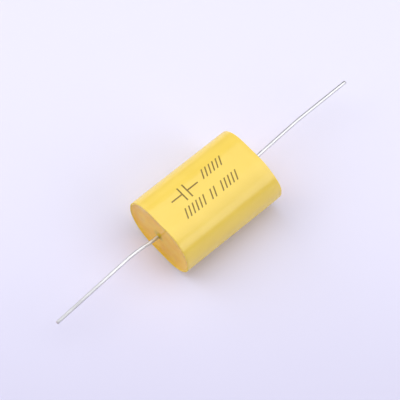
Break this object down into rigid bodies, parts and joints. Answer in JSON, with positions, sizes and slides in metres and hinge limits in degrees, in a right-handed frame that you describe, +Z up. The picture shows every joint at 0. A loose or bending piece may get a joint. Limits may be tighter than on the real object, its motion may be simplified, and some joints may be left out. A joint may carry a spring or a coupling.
{
  "type": "film capacitor",
  "caption": "Axial film capacitor: a flat-oval wound body in yellow tape with cast resin ends and a bare wire lead at each end, for soldering into a circuit.",
  "frame": {"origin": "centre of the flat face under the body that it rests on", "axes": "+X along the body towards the rear lead, +Z up; the front lead leaves at -X"},
  "size_m": [0.1065, 0.0237, 0.018],
  "materials": {
    "tape": "satin yellow polyester tape",
    "film": "metallised polypropylene film, wound",
    "contact": "sprayed zinc, matt and grainy",
    "resin": "cast amber resin, semi-gloss",
    "lead": "bright tin over copper, lengthwise drawing marks"
  },
  "bodies": {
    "root": {"tape_wrap": "tape", "film_winding": "film", "end_contact_front": "contact", "end_contact_rear": "contact", "resin_seal_front": "resin", "resin_seal_rear": "resin", "lead_front": "lead", "lead_rear": "lead"}
  },
  "joints": []
}
